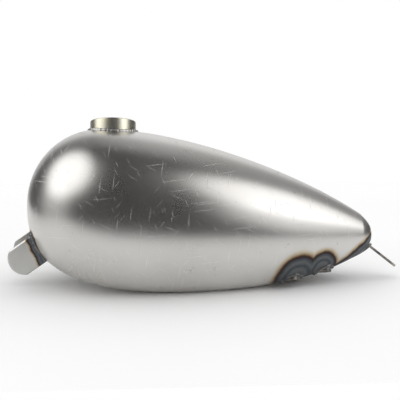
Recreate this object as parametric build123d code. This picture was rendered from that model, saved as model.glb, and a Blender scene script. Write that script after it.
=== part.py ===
from build123d import *
import math
import os

# A bare-steel motorcycle fuel tank. Millimetres, +Z up, +X towards the tail,
# +Y to the rider's right. The origin is under the middle of the tank, on the
# level that its two bottom lobes stand on.

# ---- Tank body -------------------------------------------------------------
NOSE_X = -221.0          # foremost point of the pressed body
TAIL_X = 210.0           # rearmost point of the pressed body
NOSE_Z = 96.0            # height of the nose point
TAIL_Z = 54.5            # height of the tail point
CROWN_X = -131.0         # highest place along the top
CROWN_Z = 190.7
BELLY_X = -18.0          # lowest place along the bottom, which is the ground level
SHOULDER_X = -97.0       # widest place in plan
HALF_WIDTH = 110.0
TAIL_CAP = 15.0          # length of the blunt round end at the tail
TAIL_TOP_Z = 82.7        # top, bottom and half width where that round end begins
TAIL_BOTTOM_Z = 36.2
TAIL_HALF_WIDTH = 26.0
SHEET = 1.5              # steel sheet of shells and tunnel
WAIST_SHARE = 0.45       # height of the widest line, as a share of the section's height
LOBE_SHARE = 0.52        # lowest line of each lobe, as a share of the half width
SADDLE_RISE = 0.05       # rise of the underside between the lobes, same share as the waist

# ---- Frame tunnel ----------------------------------------------------------
TUNNEL_WIDTH = 44.0      # clear width for the frame's top tube
TUNNEL_FRONT_Z = 66.0    # outside of the tunnel's roof above the nose point
TUNNEL_REAR_Z = 11.5     # outside of the tunnel's roof above TUNNEL_REAR_X
TUNNEL_REAR_X = TAIL_X - 88.0
TUNNEL_CORNER = 8.0      # outside bend radius of the roof

# ---- Seams -----------------------------------------------------------------
SEAM_WIDTH = 4.0         # root of the butt weld between the half shells, ground flush outside
SEAM_ROOT = 1.0          # how far that root stands proud inside
TUNNEL_BEAD = 2.0        # weld beyond the tunnel wall
TUNNEL_BEAD_HEIGHT = 1.2

# ---- Filler neck -----------------------------------------------------------
NECK_OUTER_R = 28.5
NECK_BORE_R = 25.4
NECK_LENGTH = 32.0
NECK_X = CROWN_X + 16.0   # centre of the rim
NECK_Y = 24.0
NECK_Z = CROWN_Z + 7.5
NECK_TILT = 16.0         # degrees, outwards to the right
NECK_RAKE = 1.0          # degrees, back towards the tail
NECK_BEAD = 3.0
NECK_RIM_RADIUS = 1.2

# ---- Front ears ------------------------------------------------------------
EAR_THICKNESS = 5.0
EAR_GAP = TUNNEL_WIDTH + 2 * (SHEET + TUNNEL_BEAD)   # clear distance between the two ears
EAR_WIDTH = 36.5
EAR_END_R = 20.5
EAR_END_X = NOSE_X - 1.9
EAR_END_Z = NOSE_Z - 59.0
EAR_ANGLE = 34.5         # degrees below level, pointing forward
EAR_ROOT = 62.0          # from the end centre to the root inside the body
EAR_CHAMFER = 1.4
EAR_BEAD = 3.0
EAR_BEAD_HEIGHT = 2.6

# ---- Rear tab --------------------------------------------------------------
TAB_THICKNESS = 3.0
TAB_WIDTH = 22.0
TAB_ANGLE = 38.0         # degrees below level, pointing back
TAB_REACH = 33.4         # how far its round end stands out behind the tail
TAB_TOP_X = TAIL_X - 7.0
TAB_TOP_Z = TAIL_Z - 9.5
TAB_HOLE_R = 4.25
STRAP_FRONT_X = TAIL_X - 44.0   # front end of the strap under the tail
TAB_BEAD = 3.2
TAB_BEAD_HEIGHT = 1.8
TAB_BEAD_REAR_X = TAIL_X - 5.0

# ---- Bungs in the bottom lobes ---------------------------------------------
BUNG_TILT = 20.0         # degrees from straight down, outwards
BUNG_LENGTH = 26.0
BUNG_STAND = 1.2         # how far the bung's mouth stands proud of the sheet
BUNG_BEAD = 3.4
BUNG_BEAD_HEIGHT = 1.6
PETCOCK_OUTER_R = 12.5
PETCOCK_BORE_R = 7.3
PETCOCK_X = TAIL_X - 110.0
PETCOCK_Y = TUNNEL_WIDTH / 2 + 23.0
CROSSOVER_OUTER_R = 10.5
CROSSOVER_BORE_R = 5.6
CROSSOVER_X = TAIL_X - 67.0
CROSSOVER_Y = TUNNEL_WIDTH / 2 + 10.0

STATIONS = 17            # sections of the pressed body
END_ANGLE = 0.10         # radians left off at each end of the row of sections
PAST_MIDDLE = 0.06       # share of its curves by which a cutting half runs past the middle
FAR = 400.0              # larger than the tank, for cutting blocks

# Side outline and plan outline, each a chain of cubic curves from nose to tail.
CAP_X = TAIL_X - TAIL_CAP
CROWN_RUN = CAP_X - CROWN_X
BELLY_RUN = CAP_X - BELLY_X
SHOULDER_RUN = CAP_X - SHOULDER_X
TOP = [
    [(NOSE_X, NOSE_Z), (NOSE_X, NOSE_Z + 0.59 * (CROWN_Z - NOSE_Z)),
     (CROWN_X - 0.53 * (CROWN_X - NOSE_X), CROWN_Z), (CROWN_X, CROWN_Z)],
    [(CROWN_X, CROWN_Z), (CROWN_X + 0.273 * CROWN_RUN, CROWN_Z),
     (CAP_X - 0.292 * CROWN_RUN, TAIL_TOP_Z + 62), (CAP_X, TAIL_TOP_Z)],
    [(CAP_X, TAIL_TOP_Z), (CAP_X + 0.63 * TAIL_CAP, TAIL_TOP_Z - 9.3),
     (TAIL_X, TAIL_Z + 14.2), (TAIL_X, TAIL_Z)],
]
BOTTOM = [
    [(NOSE_X, NOSE_Z), (NOSE_X, 0.30 * NOSE_Z), (BELLY_X - 0.706 * (BELLY_X - NOSE_X), 0), (BELLY_X, 0)],
    [(BELLY_X, 0), (BELLY_X + 0.36 * BELLY_RUN, 0),
     (CAP_X - 0.246 * BELLY_RUN, TAIL_BOTTOM_Z - 30), (CAP_X, TAIL_BOTTOM_Z)],
    [(CAP_X, TAIL_BOTTOM_Z), (CAP_X + 0.57 * TAIL_CAP, TAIL_BOTTOM_Z + 5),
     (TAIL_X, TAIL_Z - 5), (TAIL_X, TAIL_Z)],
]
PLAN = [
    [(NOSE_X, 0), (NOSE_X, 0.56 * HALF_WIDTH),
     (SHOULDER_X - 0.59 * (SHOULDER_X - NOSE_X), HALF_WIDTH), (SHOULDER_X, HALF_WIDTH)],
    [(SHOULDER_X, HALF_WIDTH), (SHOULDER_X + 0.40 * SHOULDER_RUN, HALF_WIDTH),
     (CAP_X - 0.23 * SHOULDER_RUN, TAIL_HALF_WIDTH + 36), (CAP_X, TAIL_HALF_WIDTH)],
    [(CAP_X, TAIL_HALF_WIDTH), (CAP_X + 0.63 * TAIL_CAP, TAIL_HALF_WIDTH - 6),
     (TAIL_X, 11), (TAIL_X, 0)],
]


def cubic(points, t):
    """Point and direction on a cubic curve at t, both as (along, across)."""
    a, b, c, d = points
    s = 1 - t
    place = []
    direction = []
    for i in range(2):
        place.append(s**3 * a[i] + 3 * s * s * t * b[i] + 3 * s * t * t * c[i] + t**3 * d[i])
        direction.append(s * s * (b[i] - a[i]) + 2 * s * t * (c[i] - b[i]) + t * t * (d[i] - c[i]))
    return place, direction


def offset_place(points, t, offset, side):
    """Point on the curve moved outwards by offset; side is +1 above, -1 below."""
    place, direction = cubic(points, t)
    size = math.hypot(direction[0], direction[1])
    across = (-direction[1] / size * side, direction[0] / size * side)
    return place[0] + offset * across[0], place[1] + offset * across[1]


def outline_at(chain, x, offset, side):
    """Height or half width of an outline at x."""
    for points in chain:
        if x <= offset_place(points, 1.0, offset, side)[0] or points is chain[-1]:
            break
    low, high = 0.0, 1.0
    for _ in range(40):
        middle = (low + high) / 2
        if offset_place(points, middle, offset, side)[0] < x:
            low = middle
        else:
            high = middle
    return offset_place(points, middle, offset, side)[1]


def half_section(x, offset):
    """Three cubic curves from the crown to the middle of the underside, right half."""
    top = outline_at(TOP, x, offset, 1)
    bottom = outline_at(BOTTOM, x, offset, -1)
    width = outline_at(PLAN, x, offset, 1)
    waist = bottom + (top - bottom) * WAIST_SHARE
    lobe = LOBE_SHARE * width
    saddle = bottom + SADDLE_RISE * (top - bottom)
    upper = [(0, top), (0.60 * width, top), (width, waist + 0.55 * (top - waist)), (width, waist)]
    lower = [(width, waist), (width, waist - 0.62 * (waist - bottom)),
             (lobe + 0.60 * (width - lobe), bottom), (lobe, bottom)]
    under = [(lobe, bottom), (0.5 * lobe, bottom), (0.5 * lobe, saddle), (0, saddle)]
    return [upper, lower, under]


def section(x, offset):
    """Closed section of the body across x, as six smooth curves."""
    right = half_section(x, offset)
    edges = [Bezier(*[(x, y, z) for y, z in curve]) for curve in right]
    edges += [Bezier(*[(x, -y, z) for y, z in reversed(curve)]) for curve in reversed(right)]
    return Wire(edges)


def part_of_cubic(points, start, end):
    """Control points of the same curve from start to end, which may run past 0 and 1."""
    def blend(*shares):
        row = points
        for share in shares:
            row = [[(1 - share) * a + share * b for a, b in zip(p, q)] for p, q in zip(row, row[1:])]
        return tuple(row[0])

    return [blend(start, start, start), blend(start, start, end), blend(start, end, end), blend(end, end, end)]


def right_section(x, offset, past):
    """The right half of a section, its curves run past the middle by a share, closed by a line."""
    upper, lower, under = half_section(x, offset)
    upper = part_of_cubic(upper, -past, 1)
    under = part_of_cubic(under, 0, 1 + past)
    edges = [Bezier(*[(x, y, z) for y, z in curve]) for curve in (upper, lower, under)]
    edges.append(Edge.make_line((x, *under[3]), (x, *upper[0])))
    return Wire(edges)


def stations(offset):
    """Places of the sections along the body, closer together towards its ends."""
    middle = (NOSE_X + TAIL_X) / 2
    reach = (TAIL_X - NOSE_X) / 2 + offset
    sweep = math.pi - 2 * END_ANGLE
    angles = [END_ANGLE + sweep * i / (STATIONS - 1) for i in range(STATIONS)]
    return [middle - reach * math.cos(angle) for angle in angles]


def body(offset):
    """The whole teardrop, grown outwards by offset all round."""
    return Solid.make_loft([section(x, offset) for x in stations(offset)])


def right_body(offset, past):
    """The teardrop's right half, run past the middle by a share of its section's curves."""
    return Solid.make_loft([right_section(x, offset, past) for x in stations(offset)])


def block(x0, x1, y0, y1, z0, z1):
    """Box between two corners."""
    return Pos((x0 + x1) / 2, (y0 + y1) / 2, (z0 + z1) / 2) * Box(x1 - x0, y1 - y0, z1 - z0)


def rod(centre, axis, radius, inwards, outwards):
    """Round bar along an axis, from inwards behind the centre to outwards in front."""
    start = Vector(*centre) - Vector(*axis) * inwards
    base = Plane(origin=start, z_dir=axis)
    return Solid.make_cylinder(radius, inwards + outwards, base)


def tunnel_roof(x):
    """Height of the outside of the tunnel's roof at x."""
    fall = (TUNNEL_REAR_Z - TUNNEL_FRONT_Z) / (TUNNEL_REAR_X - NOSE_X)
    return TUNNEL_FRONT_Z + fall * (x - NOSE_X)


def tunnel_core(grow):
    """Long slanted bar with two round top edges; grow 0 is the tunnel's outside."""
    half = TUNNEL_WIDTH / 2 + SHEET + grow
    radius = TUNNEL_CORNER + grow
    ends = []
    for x in (-FAR, FAR):
        roof = tunnel_roof(x) + grow
        ends.append(Wire([
            Edge.make_line((x, -half, -FAR), (x, -half, roof - radius)),
            Bezier((x, -half, roof - radius), (x, -half, roof - 0.45 * radius),
                   (x, -half + 0.55 * radius, roof), (x, -half + radius, roof)),
            Edge.make_line((x, -half + radius, roof), (x, half - radius, roof)),
            Bezier((x, half - radius, roof), (x, half - 0.55 * radius, roof),
                   (x, half, roof - 0.45 * radius), (x, half, roof - radius)),
            Edge.make_line((x, half, roof - radius), (x, half, -FAR)),
            Edge.make_line((x, half, -FAR), (x, -half, -FAR)),
        ]))
    return Solid.make_loft(ends, True)


def neck_axis():
    """Direction the filler neck points."""
    tilt = math.radians(NECK_TILT)
    rake = math.radians(NECK_RAKE)
    return (math.sin(rake), math.sin(tilt) * math.cos(rake), math.cos(tilt) * math.cos(rake))


def lobe_share(x, y):
    """Place along the lobe's lower curve, from 0 at the waist to 1 underneath, that is y out."""
    lower = half_section(x, 0)[1]
    low, high = 0.0, 1.0
    for _ in range(40):
        middle = (low + high) / 2
        if cubic(lower, middle)[0][0] > y:
            low = middle
        else:
            high = middle
    return middle


def bung_place(x, y, side):
    """A bung's centre on the lobe's underside and the way it points; side -1 is left."""
    (across, height), _ = cubic(half_section(x, 0)[1], lobe_share(x, y))
    tilt = math.radians(BUNG_TILT)
    return (x, side * across, height), (0, side * math.sin(tilt), -math.cos(tilt))


def ear_outline(grow):
    """Side view of an ear, in the XZ plane: a strip with its front end cut to a wide arc."""
    width = EAR_WIDTH + 2 * grow
    reach = EAR_END_R + grow
    root = Pos(EAR_ROOT / 2, 0, 0) * Box(EAR_ROOT, 1, width)
    tip = (Pos(-reach / 2, 0, 0) * Box(reach, 1, width)) & (Rot(90, 0, 0) * Cylinder(reach, 1))
    plate = Pos(EAR_END_X, 0, EAR_END_Z) * Rot(0, -EAR_ANGLE, 0) * (root + tip)
    return plate.faces().sort_by(Axis.Y)[0]


def ear_plate(grow, inner_y, outer_y):
    """Ear outline given thickness, on the right-hand side."""
    face = ear_outline(grow)
    face = Pos(0, inner_y + 0.5, 0) * face
    return extrude(face, amount=outer_y - inner_y, dir=(0, 1, 0))


def tab_length():
    """Length of the tab's leg, from inside the tail to the tip of its round end."""
    angle = math.radians(TAB_ANGLE)
    reach = TAIL_X + TAB_REACH - TAB_TOP_X - TAB_THICKNESS / 2 * math.sin(angle)
    return reach / math.cos(angle)


def tab_leg():
    """The rear tab's straight leg, round at its free end and pierced for one bolt."""
    straight = tab_length() - TAB_WIDTH / 2
    leg = Pos(straight / 2, 0, 0) * Box(straight, TAB_WIDTH, TAB_THICKNESS)
    leg += Pos(straight, 0, 0) * Cylinder(TAB_WIDTH / 2, TAB_THICKNESS)
    leg -= Pos(straight, 0, 0) * Cylinder(TAB_HOLE_R, 2 * TAB_THICKNESS)
    return Pos(TAB_TOP_X, 0, TAB_TOP_Z) * Rot(0, TAB_ANGLE, 0) * leg


def main_solid(shape):
    """The largest solid of a result, which drops slivers left by a cut."""
    return max(shape.solids(), key=lambda solid: solid.volume)


def save(name, shape):
    """Write one node."""
    solids = shape.solids()
    piece = solids[0] if len(solids) == 1 else Compound(children=list(solids))
    export_step(piece, f"parts/{name}.step")
    print(name, len(solids), "solid(s)", round(sum(s.volume for s in solids)), "mm3")


os.makedirs("parts", exist_ok=True)

outer = body(0)
core = tunnel_core(0)


def half_shell(side, cuts):
    """One pressed half of the body, less the tunnel and the holes."""
    skin = right_body(0, 0) - right_body(-SHEET, PAST_MIDDLE) - core
    if side < 0:
        skin = mirror(skin, Plane.XZ)
    for cut in cuts:
        skin = skin - cut
    return main_solid(skin)



# ---- Filler neck: a turned ring that stands through the sheet ---------------
neck_place = (NECK_X, NECK_Y, NECK_Z)
neck_line = neck_axis()
neck_body = rod(neck_place, neck_line, NECK_OUTER_R, NECK_LENGTH, 0)
filler_neck = neck_body - rod(neck_place, neck_line, NECK_BORE_R, NECK_LENGTH + 1, 1)
rim_edges = [e for e in filler_neck.edges() if e.geom_type == GeomType.CIRCLE
             and (e.arc_center - Vector(*neck_place)).length < 0.01]
filler_neck = fillet(rim_edges, NECK_RIM_RADIUS)
neck_ring = rod(neck_place, neck_line, NECK_OUTER_R + NECK_BEAD, NECK_LENGTH, 0) - neck_body
filler_neck_weld = main_solid((neck_ring & body(NECK_BEAD)) - outer)

# ---- Bungs: one petcock bung, one crossover bung in each lobe ---------------
bead_body = body(BUNG_BEAD_HEIGHT)
bungs = {
    "petcock_bung": (PETCOCK_X, PETCOCK_Y, -1, PETCOCK_OUTER_R, PETCOCK_BORE_R),
    "crossover_bung_left": (CROSSOVER_X, CROSSOVER_Y, -1, CROSSOVER_OUTER_R, CROSSOVER_BORE_R),
    "crossover_bung_right": (CROSSOVER_X, CROSSOVER_Y, 1, CROSSOVER_OUTER_R, CROSSOVER_BORE_R),
}
holes = {-1: [neck_body], 1: [neck_body]}
for name, (bung_x, bung_y, side, outer_r, bore_r) in bungs.items():
    centre, axis = bung_place(bung_x, bung_y, side)
    bar = rod(centre, axis, outer_r, BUNG_LENGTH - BUNG_STAND, BUNG_STAND)
    hole = rod(centre, axis, outer_r, BUNG_LENGTH - BUNG_STAND, BUNG_LENGTH)
    bore = rod(centre, axis, bore_r, BUNG_LENGTH, BUNG_LENGTH)
    ring = rod(centre, axis, outer_r + BUNG_BEAD, BUNG_LENGTH, BUNG_LENGTH)
    ring = ring - rod(centre, axis, outer_r, 2 * BUNG_LENGTH, 2 * BUNG_LENGTH)
    weld = main_solid((ring & bead_body) - outer)
    save(name, bar - bore)
    save(name.replace("bung", "bung_weld"), weld)
    holes[side].append(hole)

# ---- Half shells, and the weld root inside the seam between them ------------
seam_strip = body(-SHEET) & block(-FAR, FAR, -SEAM_WIDTH / 2, SEAM_WIDTH / 2, -FAR, FAR)
centre_seam_weld = seam_strip - body(-SHEET - SEAM_ROOT) - core - neck_body

# ---- Frame tunnel -----------------------------------------------------------
tunnel = main_solid((core - tunnel_core(-SHEET)) & outer)

# ---- Front ears -------------------------------------------------------------
ear_inner = EAR_GAP / 2
ear_outer = ear_inner + EAR_THICKNESS
whole_ear = ear_plate(0, ear_inner, ear_outer)
outer_face = whole_ear.faces().sort_by(Axis.Y)[-1]
chamfered_ear = chamfer(outer_face.edges(), EAR_CHAMFER)
ear = main_solid(chamfered_ear - outer)
ear_ring = ear_plate(EAR_BEAD, ear_inner, ear_outer + EAR_BEAD) - whole_ear
ear_weld = main_solid((ear_ring & body(EAR_BEAD_HEIGHT)) - outer)

# ---- Rear tab: a strap under the tail, bent down into a pierced leg ----------
tail_body = body(TAB_THICKNESS)
strap = (tail_body & block(STRAP_FRONT_X, FAR, -TAB_WIDTH / 2, TAB_WIDTH / 2, -FAR, TAB_TOP_Z)) - outer
rear_tab = main_solid(strap + (tab_leg() - outer))
tab_ring = block(STRAP_FRONT_X - TAB_BEAD, TAB_BEAD_REAR_X, -TAB_WIDTH / 2 - TAB_BEAD,
                 TAB_WIDTH / 2 + TAB_BEAD, -FAR, TAIL_Z - 4)
tab_ring = tab_ring - block(STRAP_FRONT_X, FAR, -TAB_WIDTH / 2, TAB_WIDTH / 2, -FAR, FAR)
rear_tab_weld = main_solid((tab_ring & body(TAB_BEAD_HEIGHT)) - outer)

# ---- Bead round the tunnel's open edge, in two halves ------------------------
bead_ring = tunnel_core(TUNNEL_BEAD) - tunnel_core(-SHEET)
tunnel_bead = (bead_ring & body(TUNNEL_BEAD_HEIGHT)) - outer - rear_tab - rear_tab_weld
tunnel_weld_left = main_solid(tunnel_bead & block(-FAR, FAR, -FAR, 0, -FAR, FAR))
tunnel_weld_right = main_solid(tunnel_bead & block(-FAR, FAR, 0, FAR, -FAR, FAR))

save("left_shell", half_shell(-1, holes[-1]))
save("right_shell", half_shell(1, holes[1]))
save("centre_seam_weld", centre_seam_weld)
save("tunnel", tunnel)
save("tunnel_weld_left", tunnel_weld_left)
save("tunnel_weld_right", tunnel_weld_right)
save("filler_neck", filler_neck)
save("filler_neck_weld", filler_neck_weld)
save("front_ear_right", ear)
save("front_ear_left", mirror(ear, Plane.XZ))
save("front_ear_weld_right", ear_weld)
save("front_ear_weld_left", mirror(ear_weld, Plane.XZ))
save("rear_tab", rear_tab)
save("rear_tab_weld", rear_tab_weld)
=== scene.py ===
import math
import random

import bmesh
import bpy
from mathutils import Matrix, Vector
from mathutils.bvhtree import BVHTree


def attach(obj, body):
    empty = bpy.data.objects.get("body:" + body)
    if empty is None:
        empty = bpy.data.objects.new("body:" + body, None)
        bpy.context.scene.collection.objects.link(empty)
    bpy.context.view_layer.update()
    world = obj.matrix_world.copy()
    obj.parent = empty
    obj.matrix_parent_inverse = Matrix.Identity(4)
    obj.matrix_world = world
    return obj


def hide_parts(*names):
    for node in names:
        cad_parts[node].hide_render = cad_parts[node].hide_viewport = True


# A bare-steel motorcycle fuel tank, in metres. +X is the tail, -Y the rider's left, +Z up.

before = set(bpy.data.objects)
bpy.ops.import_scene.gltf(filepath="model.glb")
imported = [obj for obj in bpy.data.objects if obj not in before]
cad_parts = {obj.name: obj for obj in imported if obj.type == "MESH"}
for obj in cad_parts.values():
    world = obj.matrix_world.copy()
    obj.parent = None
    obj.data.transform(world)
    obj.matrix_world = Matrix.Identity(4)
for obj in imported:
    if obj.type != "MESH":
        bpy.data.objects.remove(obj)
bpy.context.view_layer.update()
random.seed(7)

MM = 0.001

# ---- Shape of the pressed body, the same curves as the CAD model, in millimetres ----
NOSE_X, TAIL_X = -221.0, 210.0
NOSE_Z, TAIL_Z = 96.0, 54.5
CROWN_X, CROWN_Z = -131.0, 190.7
BELLY_X = -18.0
SHOULDER_X, HALF_WIDTH = -97.0, 110.0
TAIL_CAP = 15.0
TAIL_TOP_Z, TAIL_BOTTOM_Z, TAIL_HALF_WIDTH = 82.7, 36.2, 26.0
SHEET = 1.5
WAIST_SHARE, LOBE_SHARE, SADDLE_RISE = 0.45, 0.52, 0.05

TUNNEL_WIDTH = 44.0
TUNNEL_FRONT_Z, TUNNEL_REAR_Z = 66.0, 11.5
TUNNEL_REAR_X = TAIL_X - 88.0
TUNNEL_CORNER = 8.0
TUNNEL_BEAD = 2.0

NECK_OUTER_R, NECK_BORE_R, NECK_LENGTH = 28.5, 25.4, 32.0
NECK_CENTRE = (CROWN_X + 16.0, 24.0, CROWN_Z + 7.5)
NECK_TILT, NECK_RAKE = math.radians(16.0), math.radians(1.0)

EAR_THICKNESS, EAR_WIDTH = 5.0, 36.5
EAR_GAP = TUNNEL_WIDTH + 2 * (SHEET + TUNNEL_BEAD)
EAR_END = (NOSE_X - 1.9, NOSE_Z - 59.0)
EAR_ANGLE = math.radians(34.5)

BUNG_TILT, BUNG_LENGTH, BUNG_STAND = math.radians(20.0), 26.0, 1.2
# Each bung: place along the tank, distance from the middle, side (-1 is left), outer and bore radius.
BUNGS = {
    "petcock_bung": (TAIL_X - 110.0, TUNNEL_WIDTH / 2 + 23.0, -1, 12.5, 7.3),
    "crossover_bung_left": (TAIL_X - 67.0, TUNNEL_WIDTH / 2 + 10.0, -1, 10.5, 5.6),
    "crossover_bung_right": (TAIL_X - 67.0, TUNNEL_WIDTH / 2 + 10.0, 1, 10.5, 5.6),
}

CAP_X = TAIL_X - TAIL_CAP
CROWN_RUN, BELLY_RUN, SHOULDER_RUN = CAP_X - CROWN_X, CAP_X - BELLY_X, CAP_X - SHOULDER_X
TOP = [
    [(NOSE_X, NOSE_Z), (NOSE_X, NOSE_Z + 0.59 * (CROWN_Z - NOSE_Z)),
     (CROWN_X - 0.53 * (CROWN_X - NOSE_X), CROWN_Z), (CROWN_X, CROWN_Z)],
    [(CROWN_X, CROWN_Z), (CROWN_X + 0.273 * CROWN_RUN, CROWN_Z),
     (CAP_X - 0.292 * CROWN_RUN, TAIL_TOP_Z + 62), (CAP_X, TAIL_TOP_Z)],
    [(CAP_X, TAIL_TOP_Z), (CAP_X + 0.63 * TAIL_CAP, TAIL_TOP_Z - 9.3),
     (TAIL_X, TAIL_Z + 14.2), (TAIL_X, TAIL_Z)],
]
BOTTOM = [
    [(NOSE_X, NOSE_Z), (NOSE_X, 0.30 * NOSE_Z), (BELLY_X - 0.706 * (BELLY_X - NOSE_X), 0), (BELLY_X, 0)],
    [(BELLY_X, 0), (BELLY_X + 0.36 * BELLY_RUN, 0),
     (CAP_X - 0.246 * BELLY_RUN, TAIL_BOTTOM_Z - 30), (CAP_X, TAIL_BOTTOM_Z)],
    [(CAP_X, TAIL_BOTTOM_Z), (CAP_X + 0.57 * TAIL_CAP, TAIL_BOTTOM_Z + 5),
     (TAIL_X, TAIL_Z - 5), (TAIL_X, TAIL_Z)],
]
PLAN = [
    [(NOSE_X, 0), (NOSE_X, 0.56 * HALF_WIDTH),
     (SHOULDER_X - 0.59 * (SHOULDER_X - NOSE_X), HALF_WIDTH), (SHOULDER_X, HALF_WIDTH)],
    [(SHOULDER_X, HALF_WIDTH), (SHOULDER_X + 0.40 * SHOULDER_RUN, HALF_WIDTH),
     (CAP_X - 0.23 * SHOULDER_RUN, TAIL_HALF_WIDTH + 36), (CAP_X, TAIL_HALF_WIDTH)],
    [(CAP_X, TAIL_HALF_WIDTH), (CAP_X + 0.63 * TAIL_CAP, TAIL_HALF_WIDTH - 6),
     (TAIL_X, 11), (TAIL_X, 0)],
]


def cubic(points, t):
    """Point on a cubic curve."""
    s = 1 - t
    weights = (s**3, 3 * s * s * t, 3 * s * t * t, t**3)
    return [sum(w * p[i] for w, p in zip(weights, points)) for i in range(2)]


def outline_at(chain, x, inset, side):
    """Height or half width of an outline at x, moved inwards by inset."""
    def place(points, t):
        s = 1 - t
        a, b, c, d = points
        along = [s * s * (b[i] - a[i]) + 2 * s * t * (c[i] - b[i]) + t * t * (d[i] - c[i]) for i in (0, 1)]
        size = math.hypot(*along) or 1.0
        spot = cubic(points, t)
        return spot[0] + inset * along[1] / size * side, spot[1] - inset * along[0] / size * side

    for points in chain:
        if x <= place(points, 1.0)[0] or points is chain[-1]:
            break
    low, high = 0.0, 1.0
    for _ in range(44):
        middle = (low + high) / 2
        if place(points, middle)[0] < x:
            low = middle
        else:
            high = middle
    return place(points, middle)[1]


def half_section(x, inset):
    """Three cubic curves from the crown to the middle of the underside, right half."""
    top = outline_at(TOP, x, inset, 1)
    bottom = outline_at(BOTTOM, x, inset, -1)
    width = outline_at(PLAN, x, inset, 1)
    waist = bottom + (top - bottom) * WAIST_SHARE
    lobe = LOBE_SHARE * width
    saddle = bottom + SADDLE_RISE * (top - bottom)
    upper = [(0, top), (0.60 * width, top), (width, waist + 0.55 * (top - waist)), (width, waist)]
    lower = [(width, waist), (width, waist - 0.62 * (waist - bottom)),
             (lobe + 0.60 * (width - lobe), bottom), (lobe, bottom)]
    under = [(lobe, bottom), (0.5 * lobe, bottom), (0.5 * lobe, saddle), (0, saddle)]
    return [upper, lower, under]


def skin_grid(inset, side, rows, columns):
    """Points of one half of the body: rows from nose to tail, columns from crown to underside."""
    shares = []
    for part, count in enumerate(columns):
        for j in range(count):
            t = j / count
            if part == 0:
                t = t**1.5
            if part == 2:
                t = 1 - (1 - t)**1.5
            shares.append((part, t))
    shares.append((2, 1.0))
    middle = (NOSE_X + TAIL_X) / 2
    reach = (TAIL_X - NOSE_X) / 2 - inset
    grid = []
    for i in range(1, rows):
        x = middle - reach * math.cos(math.pi * i / rows)
        curves = half_section(x, inset)
        row = []
        for part, t in shares:
            y, z = cubic(curves[part], t)
            row.append((x * MM, side * y * MM, z * MM))
        grid.append(row)
    nose = ((NOSE_X + inset) * MM, 0, NOSE_Z * MM)
    tail = ((TAIL_X - inset) * MM, 0, TAIL_Z * MM)
    return grid, nose, tail


def new_object(name, vertices, faces):
    """Mesh object from points and faces."""
    mesh = bpy.data.meshes.new(name)
    mesh.from_pydata([tuple(v) for v in vertices], [], faces)
    mesh.validate()
    piece = bpy.data.objects.new(name, mesh)
    bpy.context.scene.collection.objects.link(piece)
    return piece


def point_outwards(piece):
    """Makes the faces' normals agree and point out of the solid."""
    shape = bmesh.new()
    shape.from_mesh(piece.data)
    bmesh.ops.recalc_face_normals(shape, faces=shape.faces)
    shape.to_mesh(piece.data)
    shape.free()


def smooth(piece, degrees=35):
    """Smooth shading, kept sharp at real edges."""
    piece.data.shade_smooth()
    piece.data.set_sharp_from_angle(angle=math.radians(degrees))


ROWS = 220
COLUMNS = (56, 40, 22)


def half_skin(name, side):
    """One half of the body as a closed skin of real thickness."""
    outer, nose, tail = skin_grid(0, side, ROWS, COLUMNS)
    inner, nose_in, tail_in = skin_grid(SHEET, side, ROWS, COLUMNS)
    wide = len(outer[0])
    vertices = [p for row in outer for p in row] + [nose, tail]
    faces = []

    def cover(start, nose_at, tail_at):
        for i in range(len(outer) - 1):
            for j in range(wide - 1):
                a = start + i * wide + j
                faces.append((a, a + 1, a + wide + 1, a + wide))
        last = start + (len(outer) - 1) * wide
        for j in range(wide - 1):
            faces.append((nose_at, start + j + 1, start + j))
            faces.append((tail_at, last + j, last + j + 1))

    count = len(outer) * wide
    cover(0, count, count + 1)
    shift = count + 2
    vertices += [p for row in inner for p in row] + [nose_in, tail_in]
    cover(shift, shift + count, shift + count + 1)
    rim = [count] + [i * wide for i in range(len(outer))] + [count + 1]
    rim += [i * wide + wide - 1 for i in reversed(range(len(outer)))]
    for a, b in zip(rim, rim[1:] + rim[:1]):
        faces.append((a, b, b + shift, a + shift))
    piece = new_object(name, vertices, faces)
    point_outwards(piece)
    return piece


def turned(name, profile, centre, axis, steps=160, thread=None):
    """A turned ring: profile of (radius, height) in mm, closed, round an axis."""
    axis = Vector(axis).normalized()
    side = axis.orthogonal().normalized()
    other = axis.cross(side)
    centre = Vector(centre)
    vertices, faces = [], []
    for i in range(steps):
        angle = 2 * math.pi * i / steps
        out = side * math.cos(angle) + other * math.sin(angle)
        for radius, height in profile:
            if thread and abs(radius - thread["radius"]) < 1e-6 and thread["low"] < height < thread["high"]:
                phase = (height / thread["pitch"] - angle / (2 * math.pi)) % 1.0
                radius = radius + thread["depth"] * (1 - abs(2 * phase - 1))
            vertices.append((centre + out * radius + axis * height) * MM)
    wide = len(profile)
    for i in range(steps):
        for j in range(wide):
            a = i * wide + j
            b = i * wide + (j + 1) % wide
            c = ((i + 1) % steps) * wide + (j + 1) % wide
            d = ((i + 1) % steps) * wide + j
            faces.append((a, b, c, d))
    piece = new_object(name, vertices, faces)
    point_outwards(piece)
    smooth(piece, 30)
    return piece


def ring_profile(outer, bore, length, rim, thread_step):
    """Profile of a ring with rounded rims, from the top of the outside round to the bore."""
    points = []
    for k in range(5):
        angle = math.pi / 2 * k / 4
        points.append((outer - rim + rim * math.sin(angle), -rim + rim * math.cos(angle)))
    points.append((outer, -length + 0.4))
    points.append((outer - 0.4, -length))
    points.append((bore + 0.6, -length))
    points.append((bore, -length + 0.6))
    height = -length + 0.6 + thread_step
    while height < -rim - 0.4:
        points.append((bore, height))
        height += thread_step
    for k in range(4):
        angle = math.pi / 2 * k / 3
        points.append((bore + rim * (1 - math.cos(angle)), -rim + rim * math.sin(angle)))
    return points


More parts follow.
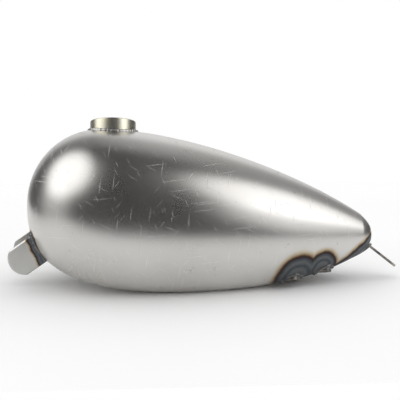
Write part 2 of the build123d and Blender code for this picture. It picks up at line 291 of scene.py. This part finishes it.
def cut(piece, *tools):
    """Cuts pieces out of another, once for all."""
    for tool in tools:
        change = piece.modifiers.new("cut", "BOOLEAN")
        change.operation = "DIFFERENCE"
        change.solver = "EXACT"
        change.object = tool
        with bpy.context.temp_override(object=piece, active_object=piece):
            bpy.ops.object.modifier_apply(modifier=change.name)


def bar(name, centre, axis, radius, inwards, outwards, steps=160):
    """Round cutting bar."""
    axis = Vector(axis).normalized()
    side = axis.orthogonal().normalized()
    other = axis.cross(side)
    low = Vector(centre) - axis * inwards
    high = Vector(centre) + axis * outwards
    vertices = []
    for end in (low, high):
        for i in range(steps):
            angle = 2 * math.pi * i / steps
            vertices.append((end + (side * math.cos(angle) + other * math.sin(angle)) * radius) * MM)
    faces = [tuple(range(steps)), tuple(range(2 * steps - 1, steps - 1, -1))]
    faces += [(i, (i + 1) % steps, steps + (i + 1) % steps, steps + i) for i in range(steps)]
    piece = new_object(name, vertices, faces)
    point_outwards(piece)
    return piece


def tunnel_roof(x):
    """Height of the outside of the tunnel's roof, in mm."""
    return TUNNEL_FRONT_Z + (TUNNEL_REAR_Z - TUNNEL_FRONT_Z) * (x - NOSE_X) / (TUNNEL_REAR_X - NOSE_X)


def tunnel_core(name):
    """Cutting bar of the tunnel's outside, with round top edges."""
    half = TUNNEL_WIDTH / 2 + SHEET
    outline = [(-half, -60.0)]
    for k in range(9):
        angle = math.pi / 2 * k / 8
        outline.append((-half + TUNNEL_CORNER * (1 - math.cos(angle)), TUNNEL_CORNER * (math.sin(angle) - 1)))
    for k in range(9):
        angle = math.pi / 2 * k / 8
        outline.append((half - TUNNEL_CORNER * (1 - math.sin(angle)), TUNNEL_CORNER * (math.cos(angle) - 1)))
    outline.append((half, -60.0))
    vertices = []
    for x in (-300.0, 300.0):
        for n, (y, drop) in enumerate(outline):
            low_end = n in (0, len(outline) - 1)
            z = -60.0 if low_end else tunnel_roof(x) + drop
            vertices.append((x * MM, y * MM, z * MM))
    count = len(outline)
    faces = [tuple(range(count)), tuple(range(2 * count - 1, count - 1, -1))]
    faces += [(i, (i + 1) % count, count + (i + 1) % count, count + i) for i in range(count)]
    piece = new_object(name, vertices, faces)
    point_outwards(piece)
    return piece


def bung_place(x, y, side):
    """Bung's place on the lobe's underside and the way it points, in mm; side -1 is left."""
    low, high = 0.0, 1.0
    for _ in range(40):
        share = (low + high) / 2
        across, height = cubic(half_section(x, 0)[1], share)
        if across > y:
            low = share
        else:
            high = share
    return Vector((x, side * across, height)), Vector((0, side * math.sin(BUNG_TILT), -math.cos(BUNG_TILT)))


def surface_tree(*pieces):
    """Search tree over the outside of the body, in metres."""
    shape = bmesh.new()
    for piece in pieces:
        shape.from_mesh(piece.data)
    tree = BVHTree.FromBMesh(shape)
    shape.free()
    return tree


def bead(name, path, closed, width, height, pitch, sink=0.5, uneven=0.1):
    """A rippled weld bead along a path of (point, surface normal, sideways), all in mm."""
    points = [p for p, _, _ in path]
    run = [0.0]
    pairs = list(zip(points, points[1:] + ([points[0]] if closed else [])))
    for a, b in pairs:
        run.append(run[-1] + (b - a).length)
    total = run[-1]
    ripples = max(2, round(total / pitch))
    around = 14
    vertices, faces = [], []
    wobble = [random.uniform(-1, 1) for _ in range(ripples + 2)]
    for i, (point, normal, side) in enumerate(path):
        phase = run[i] / total * ripples
        step = phase % 1.0
        ridge = (1 - step)**0.6 * 0.5 + 0.5
        vary = 1 + uneven * wobble[int(phase) % len(wobble)]
        taper = 1.0
        if not closed:
            ends = min(run[i], total - run[i]) / (0.8 * width)
            taper = math.sqrt(max(0.0, 1 - max(0.0, 1 - ends)**2))
        for k in range(around):
            angle = math.pi * k / (around - 1)
            lift = math.sin(angle)
            crest = 0.82 + 0.18 * ridge * (0.4 + 0.6 * lift)
            half = 0.5 * width * vary * (0.92 + 0.08 * ridge) * max(taper, 0.05)
            rise = height * lift * crest * vary * max(taper, 0.05) - sink * (1 - lift)
            vertices.append((point + side * (half * math.cos(angle)) + normal * rise) * MM)
    rows = len(path)
    for i in range(rows if closed else rows - 1):
        for k in range(around - 1):
            a = i * around + k
            c = ((i + 1) % rows) * around + k
            faces.append((a, a + 1, c + 1, c))
        a = i * around
        c = ((i + 1) % rows) * around
        faces.append((a + around - 1, a, c, c + around - 1))
    if not closed:
        faces.append(tuple(range(around)))
        faces.append(tuple(range(rows * around - 1, (rows - 1) * around - 1, -1)))
    piece = new_object(name, vertices, faces)
    point_outwards(piece)
    smooth(piece, 50)
    return piece


def ring_path(tree, centre, axis, radius, steps):
    """Where a tube of this radius meets the body: point, surface normal and sideways."""
    axis = Vector(axis).normalized()
    side = axis.orthogonal().normalized()
    other = axis.cross(side)
    path = []
    for i in range(steps):
        angle = 2 * math.pi * i / steps
        out = side * math.cos(angle) + other * math.sin(angle)
        start = (Vector(centre) + out * radius + axis * 30) * MM
        place, normal, _, _ = tree.ray_cast(start, -axis)
        normal = normal.normalized()
        if normal.dot(axis) < 0:
            normal = -normal
        across = (out - normal * out.dot(normal)).normalized()
        path.append((place / MM, normal, across))
    return path


# ---- Body ------------------------------------------------------------------------------
neck_axis = Vector((math.sin(NECK_RAKE), math.sin(NECK_TILT) * math.cos(NECK_RAKE),
                    math.cos(NECK_TILT) * math.cos(NECK_RAKE)))
left_shell = half_skin("left_half_shell", -1)
right_shell = half_skin("right_half_shell", 1)
body_tree = surface_tree(left_shell, right_shell)

core_tool = tunnel_core("core_tool")
neck_tool = bar("neck_tool", NECK_CENTRE, neck_axis, NECK_OUTER_R - 0.05, NECK_LENGTH, 10)
tools = [core_tool, neck_tool]
left_tools, right_tools = [core_tool, neck_tool], [core_tool, neck_tool]
for name, (x, y, side, outer_r, bore_r) in BUNGS.items():
    tool = bar(name + "_tool", *bung_place(x, y, side), outer_r - 0.05, BUNG_LENGTH, 10, 96)
    (right_tools if side > 0 else left_tools).append(tool)
    tools.append(tool)
cut(left_shell, *left_tools)
cut(right_shell, *right_tools)
for shell in (left_shell, right_shell):
    smooth(shell, 40)
for tool in tools:
    bpy.data.objects.remove(tool)

# ---- Turned rings ----------------------------------------------------------------------
filler_neck = turned(
    "threaded_filler_neck", ring_profile(NECK_OUTER_R, NECK_BORE_R, NECK_LENGTH, 1.2, 0.35),
    NECK_CENTRE, neck_axis, 192,
    {"radius": NECK_BORE_R, "low": -22.0, "high": -3.5, "pitch": 2.8, "depth": 0.9})
bung_pieces = {}
for name, (x, y, side, outer_r, bore_r) in BUNGS.items():
    centre, axis = bung_place(x, y, side)
    bung_pieces[name] = turned(
        "threaded_" + name, ring_profile(outer_r, bore_r, BUNG_LENGTH, 0.7, 0.25),
        centre + axis * BUNG_STAND, axis, 120,
        {"radius": bore_r, "low": -22.0, "high": -1.2, "pitch": 1.41, "depth": 0.7})

# ---- Weld beads ------------------------------------------------------------------------
beads = {}
path = ring_path(body_tree, NECK_CENTRE, neck_axis, NECK_OUTER_R + 0.9, 540)
beads["filler_neck_weld"] = bead("neck_bead", path, True, 5.0, 2.3, 2.0)
for name, (x, y, side, outer_r, bore_r) in BUNGS.items():
    path = ring_path(body_tree, *bung_place(x, y, side), outer_r + 1.3, 400)
    beads[name.replace("bung", "bung_weld")] = bead(name + "_bead", path, True, 4.6, 1.6, 2.2)


def ear_weld_path(side):
    """Where the ear's outer face meets the body, from its top edge round to its bottom edge."""
    y_face = side * (EAR_GAP / 2 + EAR_THICKNESS)
    along = Vector((math.cos(EAR_ANGLE), 0, math.sin(EAR_ANGLE)))
    across = Vector((-along.z, 0, along.x))
    end = Vector((EAR_END[0], 0, EAR_END[1]))

    def meet(offset, y):
        start = (end + across * offset - along * 40 + Vector((0, y, 0))) * MM
        place, normal, _, _ = body_tree.ray_cast(start, along)
        if normal.dot(along) > 0:
            normal = -normal
        return place / MM, normal.normalized()

    corner = 1.2
    inner = side * EAR_GAP / 2
    stops = [(EAR_WIDTH / 2 + corner, inner + side * 0.5), (EAR_WIDTH / 2 + corner, y_face),
             (EAR_WIDTH / 2, y_face + side * corner), (-EAR_WIDTH / 2, y_face + side * corner),
             (-EAR_WIDTH / 2 - corner, y_face), (-EAR_WIDTH / 2 - corner, inner + side * 0.5)]
    route = []
    for (o1, y1), (o2, y2) in zip(stops, stops[1:]):
        pieces = max(2, int(math.hypot(o2 - o1, y2 - y1) / 0.35))
        for k in range(pieces):
            share = k / pieces
            route.append((o1 + (o2 - o1) * share, y1 + (y2 - y1) * share))
    route.append(stops[-1])
    spots = [meet(o, y) for o, y in route]
    path = []
    for i, (place, normal) in enumerate(spots):
        before = spots[max(0, i - 3)][0]
        after = spots[min(len(spots) - 1, i + 3)][0]
        run = (after - before).normalized()
        path.append((place, normal, run.cross(normal).normalized()))
    return path


for side, name in ((-1, "left"), (1, "right")):
    beads["front_ear_weld_" + name] = bead("ear_bead_" + name, ear_weld_path(side), False, 5.4, 2.6, 2.3)

# ---- Materials -------------------------------------------------------------------------


class Nodes:
    """Short calls for building a node material."""

    def __init__(self, name):
        self.material = bpy.data.materials.new(name)
        self.material.use_nodes = True
        self.tree = self.material.node_tree
        self.shader = self.tree.nodes["Principled BSDF"]
        self.place = self.add("ShaderNodeTexCoord").outputs["Object"]

    def add(self, kind, **settings):
        node = self.tree.nodes.new(kind)
        for key, value in settings.items():
            setattr(node, key, value)
        return node

    def link(self, source, target):
        self.tree.links.new(source, target)

    def maths(self, operation, a, b=None, clamp=False):
        node = self.add("ShaderNodeMath", operation=operation, use_clamp=clamp)
        for slot, value in enumerate((a, b)):
            if value is None:
                continue
            if isinstance(value, (int, float)):
                node.inputs[slot].default_value = value
            else:
                self.link(value, node.inputs[slot])
        return node.outputs[0]

    def vector(self, operation, a, b=None):
        node = self.add("ShaderNodeVectorMath", operation=operation)
        for slot, value in enumerate((a, b)):
            if value is None:
                continue
            if isinstance(value, (tuple, Vector)):
                node.inputs[slot].default_value = tuple(value)
            else:
                self.link(value, node.inputs[slot])
        single = operation in ("DISTANCE", "DOT_PRODUCT")
        return node.outputs["Value"] if single else node.outputs[0]

    def noise(self, scale, detail=4.0, roughness=0.5, place=None, distortion=0.0):
        node = self.add("ShaderNodeTexNoise")
        node.inputs["Scale"].default_value = scale
        node.inputs["Detail"].default_value = detail
        node.inputs["Roughness"].default_value = roughness
        node.inputs["Distortion"].default_value = distortion
        self.link(place or self.place, node.inputs["Vector"])
        return node.outputs["Fac"]

    def stretch(self, rotation, scale):
        node = self.add("ShaderNodeMapping")
        node.inputs["Rotation"].default_value = rotation
        node.inputs["Scale"].default_value = scale
        self.link(self.place, node.inputs["Vector"])
        return node.outputs[0]

    def distance_to_line(self, start, end):
        """Distance from the shaded point to the straight line between two points."""
        run = end - start
        from_start = self.vector("SUBTRACT", self.place, start)
        share = self.vector("DOT_PRODUCT", from_start, run / max(run.length_squared, 1e-12))
        share = self.maths("ADD", share, 0.0, clamp=True)
        node = self.add("ShaderNodeVectorMath", operation="SCALE")
        node.inputs[0].default_value = run
        self.link(share, node.inputs["Scale"])
        return self.vector("DISTANCE", from_start, node.outputs[0])

    def ramp(self, value, stops):
        node = self.add("ShaderNodeValToRGB")
        band = node.color_ramp
        while len(band.elements) < len(stops):
            band.elements.new(0.5)
        for element, (spot, colour) in zip(band.elements, stops):
            element.position = spot
            element.color = (*colour, 1.0)
        self.link(value, node.inputs[0])
        return node.outputs[0]

    def grey(self, value, low, high):
        """Maps low..high onto 0..1."""
        node = self.add("ShaderNodeMapRange", clamp=True)
        node.inputs[1].default_value = low
        node.inputs[2].default_value = high
        self.link(value, node.inputs[0])
        return node.outputs[0]

    def mix(self, share, a, b):
        node = self.add("ShaderNodeMix", data_type="RGBA")
        for slot, value in ((0, share), (6, a), (7, b)):
            if isinstance(value, (int, float)):
                node.inputs[slot].default_value = value
            elif isinstance(value, tuple):
                node.inputs[slot].default_value = (*value, 1.0)
            else:
                self.link(value, node.inputs[slot])
        return node.outputs[2]

    def bump(self, height, strength, distance):
        node = self.add("ShaderNodeBump")
        node.inputs["Strength"].default_value = strength
        node.inputs["Distance"].default_value = distance
        self.link(height, node.inputs["Height"])
        self.link(node.outputs[0], self.shader.inputs["Normal"])


def scratches(n, sets):
    """Fine straight scratches seen from the sides, 1 on a scratch and 0 elsewhere.

    Each set has its slope in degrees, the length, width and spacing in mm, and a shift of its own.
    """
    total = None
    for turn, length, width, spacing, shift in sets:
        angle = math.radians(turn)
        stretch = length / width
        run = Vector((math.cos(angle), 0, math.sin(angle)))
        rise = Vector((-math.sin(angle), 0, math.cos(angle)))
        along = n.vector("DOT_PRODUCT", n.place, run / (spacing * stretch * MM))
        across = n.vector("DOT_PRODUCT", n.place, rise / (spacing * MM))
        place = n.add("ShaderNodeCombineXYZ")
        n.link(n.maths("ADD", along, shift), place.inputs[0])
        n.link(across, place.inputs[1])
        cells = n.add("ShaderNodeTexVoronoi", voronoi_dimensions="2D")
        cells.inputs["Scale"].default_value = 1.0
        n.link(place.outputs[0], cells.inputs["Vector"])
        core, rim = 0.3 * width / spacing, width / spacing
        mark = n.maths("SUBTRACT", 1.0, n.grey(cells.outputs["Distance"], core, rim))
        total = mark if total is None else n.maths("MAXIMUM", total, mark)
    return total


# Colours from the middle of a heat mark outwards, by share of the mark's reach.
HEAT_COLOURS = [
    (0.00, (0.085, 0.095, 0.105)),
    (0.30, (0.160, 0.170, 0.175)),
    (0.40, (0.075, 0.085, 0.095)),
    (0.50, (0.150, 0.160, 0.165)),
    (0.58, (0.085, 0.095, 0.105)),
    (0.65, (0.045, 0.034, 0.036)),
    (0.69, (0.085, 0.050, 0.034)),
    (0.73, (0.290, 0.210, 0.135)),
    (0.78, (0.480, 0.410, 0.300)),
    (0.88, (0.600, 0.580, 0.540)),
    (1.00, (0.610, 0.600, 0.575)),
]


def heat_tint(n, edge):
    """Heat colours round the welds, and the distance to the nearest weld as a share of its reach."""
    nearest = None
    for start, end, reach in heat_marks:
        far = n.distance_to_line(start * MM, end * MM)
        share = n.maths("DIVIDE", n.maths("ADD", far, edge), reach * MM, clamp=True)
        nearest = share if nearest is None else n.maths("MINIMUM", nearest, share)
    return n.ramp(nearest, HEAT_COLOURS), nearest


def steel_body(name):
    """Bare satin sheet with fine scratches, faint stains, and heat tint round each weld."""
    n = Nodes(name)
    n.shader.inputs["Metallic"].default_value = 1.0
    cloud = n.noise(9.0, 5.0, 0.55)
    fine = n.noise(160.0, 3.0, 0.6)
    base = n.mix(n.grey(cloud, 0.35, 0.7), (0.585, 0.570, 0.545), (0.650, 0.640, 0.620))
    marks = scratches(n, [(4, 16.0, 0.35, 6.5, 0.0), (-28, 9.0, 0.30, 7.0, 11.3), (50, 7.0, 0.30, 7.5, 23.1),
                          (82, 11.0, 0.45, 7.5, 37.7), (-63, 5.0, 0.30, 5.5, 51.9)])
    base = n.mix(n.maths("MULTIPLY", marks, 0.6), base, (0.88, 0.87, 0.85))
    scuffs = n.grey(n.noise(130.0, 2.0, 0.5), 0.70, 0.76)
    base = n.mix(n.maths("MULTIPLY", scuffs, 0.4), base, (0.33, 0.32, 0.30))
    edge = n.maths("MULTIPLY", n.maths("SUBTRACT", n.noise(70.0, 3.0, 0.6), 0.5), 0.0035)
    tint, share = heat_tint(n, edge)
    colour = n.mix(n.grey(share, 1.0, 0.80), base, tint)
    burnt = n.grey(share, 0.74, 0.66)
    n.link(colour, n.shader.inputs["Base Color"])
    rough = n.maths("ADD", n.maths("MULTIPLY", cloud, 0.10), 0.235)
    rough = n.maths("ADD", rough, n.maths("MULTIPLY", burnt, 0.22))
    rough = n.maths("ADD", rough, n.maths("MULTIPLY", marks, 0.30))
    n.link(rough, n.shader.inputs["Roughness"])
    height = n.maths("SUBTRACT", n.maths("MULTIPLY", fine, 0.15), n.maths("MULTIPLY", marks, 0.4))
    n.bump(height, 0.25, 0.0002)
    return n.material


def machined(name):
    """Turned steel, faintly straw-coloured by the heat."""
    n = Nodes(name)
    n.shader.inputs["Metallic"].default_value = 1.0
    cloud = n.noise(60.0, 4.0, 0.55)
    colour = n.mix(n.grey(cloud, 0.3, 0.7), (0.72, 0.70, 0.62), (0.62, 0.58, 0.44))
    n.link(colour, n.shader.inputs["Base Color"])
    lines = n.noise(1.0, 2.0, 0.5, n.stretch((0, 0, 0), (40.0, 40.0, 2600.0)))
    n.link(n.maths("ADD", n.maths("MULTIPLY", lines, 0.16), 0.26), n.shader.inputs["Roughness"])
    n.bump(lines, 0.15, 0.0001)
    return n.material


def stained(name):
    """Turned steel darkened by the weld heat."""
    n = Nodes(name)
    n.shader.inputs["Metallic"].default_value = 1.0
    cloud = n.noise(140.0, 4.0, 0.6)
    colour = n.ramp(cloud, [
        (0.32, (0.10, 0.11, 0.12)), (0.50, (0.24, 0.22, 0.20)), (0.68, (0.42, 0.38, 0.32))])
    n.link(colour, n.shader.inputs["Base Color"])
    n.link(n.maths("ADD", n.maths("MULTIPLY", cloud, 0.2), 0.25), n.shader.inputs["Roughness"])
    n.bump(cloud, 0.2, 0.0002)
    return n.material


def weld_metal(name, stops):
    """Weld metal in the colours that the heat or the brush has left on it."""
    n = Nodes(name)
    n.shader.inputs["Metallic"].default_value = 1.0
    cloud = n.noise(220.0, 4.0, 0.6)
    colour = n.ramp(cloud, stops)
    n.link(colour, n.shader.inputs["Base Color"])
    n.link(n.maths("ADD", n.maths("MULTIPLY", cloud, 0.25), 0.26), n.shader.inputs["Roughness"])
    n.bump(n.noise(900.0, 3.0, 0.6), 0.3, 0.0002)
    return n.material


def plate(name):
    """Flat bar with fine grinding marks, darkened towards its welded root."""
    n = Nodes(name)
    n.shader.inputs["Metallic"].default_value = 1.0
    cloud = n.noise(30.0, 5.0, 0.6)
    colour = n.mix(n.grey(cloud, 0.3, 0.7), (0.52, 0.52, 0.50), (0.60, 0.59, 0.57))
    edge = n.maths("MULTIPLY", n.maths("SUBTRACT", n.noise(120.0, 3.0, 0.6), 0.5), 0.006)
    tint, share = heat_tint(n, edge)
    colour = n.mix(n.grey(share, 1.0, 0.80), colour, tint)
    marks = n.noise(1.0, 3.0, 0.6, n.stretch((0, EAR_ANGLE, 0), (60.0, 400.0, 1500.0)))
    n.link(colour, n.shader.inputs["Base Color"])
    n.link(n.maths("ADD", n.maths("MULTIPLY", marks, 0.2), 0.24), n.shader.inputs["Roughness"])
    n.bump(marks, 0.2, 0.0001)
    return n.material


# Heat marks in mm: the two ends of the welded line that each one lies round, and its reach.
heat_marks = [
    (Vector((105.0, -50.0, 17.5)), Vector((105.0, -50.0, 17.5)), 43.0),
    (Vector((120.0, 0.0, 12.0)), Vector((120.0, 0.0, 12.0)), 20.0),
]
for side in (-1, 1):
    heat_marks += [
        (Vector((136.0, side * 41.0, 26.0)), Vector((136.0, side * 41.0, 26.0)), 32.0),
        (Vector((-207.0, side * 31.0, 62.0)), Vector((-194.0, side * 31.0, 34.0)), 18.0),
        (Vector((150.0, side * 19.0, 24.0)), Vector((207.0, side * 11.0, 43.0)), 25.0),
    ]
body_steel = steel_body("bare_sheet_steel")
neck_steel = machined("turned_steel")
bung_steel = stained("heat_stained_steel")
bead_steel = weld_metal("dark_weld_metal", [
    (0.30, (0.07, 0.08, 0.10)), (0.50, (0.15, 0.16, 0.17)),
    (0.62, (0.24, 0.21, 0.18)), (0.75, (0.10, 0.10, 0.12))])
brushed_bead = weld_metal("brushed_weld_metal", [
    (0.30, (0.46, 0.45, 0.43)), (0.50, (0.58, 0.57, 0.55)), (0.70, (0.52, 0.50, 0.46))])
plate_steel = plate("flat_bar_steel")


def dress(piece, material):
    """Gives a piece one material."""
    piece.data.materials.clear()
    piece.data.materials.append(material)


def stand_for(piece, node, material):
    """A detailed piece takes the place of a CAD node."""
    dress(piece, material)
    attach(piece, "root")
    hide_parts(node)


stand_for(left_shell, "left_shell", body_steel)
stand_for(right_shell, "right_shell", body_steel)
stand_for(filler_neck, "filler_neck", neck_steel)
for name, piece in bung_pieces.items():
    stand_for(piece, name, bung_steel)
for node, piece in beads.items():
    stand_for(piece, node, brushed_bead if node == "filler_neck_weld" else bead_steel)

# The rear tab takes the same dark steel as the bungs, so that it shows as a dark grey line.
CAD_MATERIALS = {
    "tunnel": body_steel, "centre_seam_weld": brushed_bead, "tunnel_weld_left": bead_steel,
    "tunnel_weld_right": bead_steel, "front_ear_left": plate_steel, "front_ear_right": plate_steel,
    "rear_tab": bung_steel, "rear_tab_weld": bead_steel,
}
for node, material in CAD_MATERIALS.items():
    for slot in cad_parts[node].material_slots:
        slot.material = material

# ---- Floor, light and camera -----------------------------------------------------------


def floor_material():
    """Pale plain floor."""
    n = Nodes("pale_floor")
    cloud = n.noise(3.0, 2.0, 0.5)
    colour = n.mix(n.grey(cloud, 0.3, 0.7), (0.985, 0.985, 0.985), (1.0, 1.0, 1.0))
    n.link(colour, n.shader.inputs["Base Color"])
    n.shader.inputs["Roughness"].default_value = 0.9
    n.shader.inputs["Specular IOR Level"].default_value = 0.0
    return n.material


floor = new_object("floor", [(-0.75, -0.38, -0.0005), (0.75, -0.38, -0.0005), (0.75, 0.90, -0.0005),
                             (-0.75, 0.90, -0.0005)], [(0, 1, 2, 3)])
dress(floor, floor_material())


def studio():
    """White room for the camera and for soft light; a dark room with soft boxes for reflections."""
    world = bpy.data.worlds.new("studio")
    bpy.context.scene.world = world
    world.use_nodes = True
    world.cycles.sampling_method = "NONE"
    tree = world.node_tree
    add = tree.nodes.new
    link = tree.links.new
    background = tree.nodes["Background"]
    way = add("ShaderNodeTexCoord").outputs["Generated"]

    def maths(operation, a, b):
        node = add("ShaderNodeMath")
        node.operation = operation
        for slot, value in enumerate((a, b)):
            if isinstance(value, (int, float)):
                node.inputs[slot].default_value = value
            else:
                link(value, node.inputs[slot])
        return node.outputs[0]

    def toward(direction, start, full):
        """Goes from 0 to 1 as the direction nears this one; start and full are in degrees."""
        node = add("ShaderNodeVectorMath")
        node.operation = "DOT_PRODUCT"
        node.inputs[1].default_value = direction
        link(way, node.inputs[0])
        step = add("ShaderNodeMapRange")
        step.interpolation_type = "SMOOTHSTEP"
        step.inputs[1].default_value = math.cos(math.radians(start))
        step.inputs[2].default_value = math.cos(math.radians(full))
        link(node.outputs["Value"], step.inputs[0])
        return step.outputs[0]

    level = 0.07
    for bearing, height, start, full, strength in STUDIO_LIGHTS:
        turn, rise = math.radians(bearing), math.radians(height)
        direction = (math.sin(turn) * math.cos(rise), -math.cos(turn) * math.cos(rise), math.sin(rise))
        level = maths("ADD", level, maths("MULTIPLY", toward(direction, start, full), strength))
    paths = add("ShaderNodeLightPath")
    chosen = add("ShaderNodeMix")
    chosen.data_type = "FLOAT"
    link(paths.outputs["Is Glossy Ray"], chosen.inputs[0])
    chosen.inputs[2].default_value = 1.0
    link(level, chosen.inputs[3])
    colour = add("ShaderNodeCombineColor")
    for slot in range(3):
        link(chosen.outputs[0], colour.inputs[slot])
    link(colour.outputs[0], background.inputs["Color"])
    background.inputs["Strength"].default_value = 1.0


# Bearing from the front towards the tail, height above the horizon, outer edge and inner edge,
# all in degrees, and brightness.
STUDIO_LIGHTS = [
    (-84, 42, 38, 19, 1.8), (-84, 4, 30, 6, 0.45),
    (76, 40, 29, 12, 1.8), (60, 18, 25, 8, 1.1),
    (180, 6, 42, 8, 0.85), (180, 44, 34, 5, 0.2), (142, 40, 38, 10, 0.3),
]
studio()

AZIMUTH, ELEVATION = math.radians(-3.83), math.radians(8.97)
DISTANCE = 1.15
TARGET = Vector((-0.0077, 0.0, 0.102))
camera_data = bpy.data.cameras.new("camera")
camera_data.sensor_width = 36.0
camera_data.lens = 82.86
camera = bpy.data.objects.new("camera", camera_data)
bpy.context.scene.collection.objects.link(camera)
back = Vector((math.sin(AZIMUTH) * math.cos(ELEVATION), -math.cos(AZIMUTH) * math.cos(ELEVATION),
               math.sin(ELEVATION)))
camera.location = TARGET + back * DISTANCE
camera.rotation_euler = back.to_track_quat("Z", "Y").to_euler()
bpy.context.scene.camera = camera
bpy.context.scene.view_settings.view_transform = "Standard"
